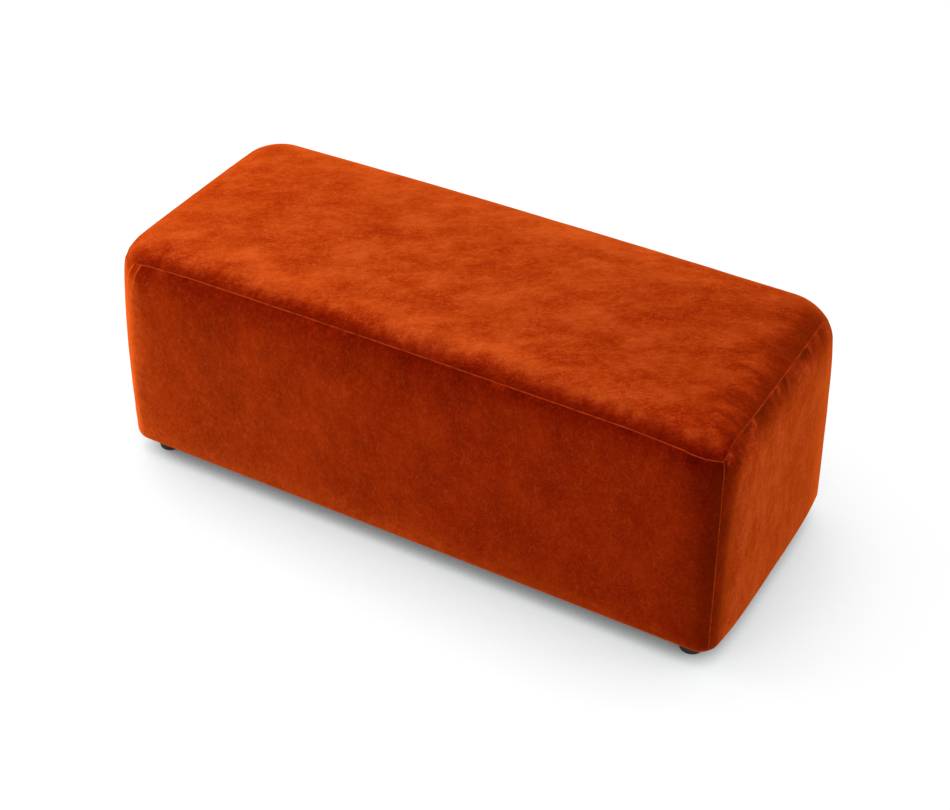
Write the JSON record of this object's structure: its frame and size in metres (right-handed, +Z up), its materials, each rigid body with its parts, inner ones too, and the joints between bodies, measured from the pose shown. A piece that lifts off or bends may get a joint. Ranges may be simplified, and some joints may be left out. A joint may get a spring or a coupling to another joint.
{
  "type": "long bench",
  "caption": "Long upholstered bench: velvet-covered padded box with rounded edges on a dowelled timber frame with zigzag springs, standing on round plastic feet",
  "frame": {"origin": "on the floor under the middle of the bench", "axes": "X along the length, -Y is the front, +Z up"},
  "size_m": [1.2236, 0.5, 0.48],
  "materials": {
    "velvet": "short brushed mohair-like velvet pile, burnt orange",
    "fibre": "white polyester wadding",
    "seat_foam": "open-cell polyurethane foam",
    "side_foam": "open-cell polyurethane foam",
    "felt": "needled felt",
    "spring_wire": "drawn wire, lightly oiled",
    "clip_steel": "zinc plated strip",
    "tie_wire": "paper-covered tie wire",
    "side_board": "hard fibre board",
    "timber": "planed pine",
    "dowel": "fluted beech dowel",
    "zinc_screw": "zinc plated",
    "dust_cloth": "black spun-bonded non-woven",
    "foot_plastic": "black, fine moulded grain"
  },
  "bodies": {
    "root": {"cover_top": "velvet", "cover_front": "velvet", "cover_back": "velvet", "cover_left_end": "velvet", "cover_right_end": "velvet", "fibre_wrap": "fibre", "seat_foam": "seat_foam", "foam_front": "side_foam", "foam_back": "side_foam", "foam_left_end": "side_foam", "foam_right_end": "side_foam", "seat_felt": "felt", "springs": "spring_wire", "spring_clips": "clip_steel", "tie_wires": "tie_wire", "spring_batten_front": "timber", "spring_batten_back": "timber", "board_front": "side_board", "board_back": "side_board", "board_left_end": "side_board", "board_right_end": "side_board", "top_rail_front": "timber", "top_rail_back": "timber", "top_rail_left": "timber", "top_rail_right": "timber", "bottom_rail_front": "timber", "bottom_rail_back": "timber", "bottom_rail_left": "timber", "bottom_rail_right": "timber", "corner_post_front_left": "timber", "corner_post_front_right": "timber", "corner_post_back_left": "timber", "corner_post_back_right": "timber", "mid_post_front_left": "timber", "mid_post_front_right": "timber", "mid_post_back_left": "timber", "mid_post_back_right": "timber", "spreader_left": "timber", "spreader_right": "timber", "floor_rail_left": "timber", "floor_rail_right": "timber", "frame_dowels": "dowel", "frame_screws": "zinc_screw", "batten_screws": "zinc_screw", "dust_cover": "dust_cloth", "foot_front_left": "foot_plastic", "foot_front_right": "foot_plastic", "foot_back_left": "foot_plastic", "foot_back_right": "foot_plastic", "foot_screws": "zinc_screw"}
  },
  "joints": []
}
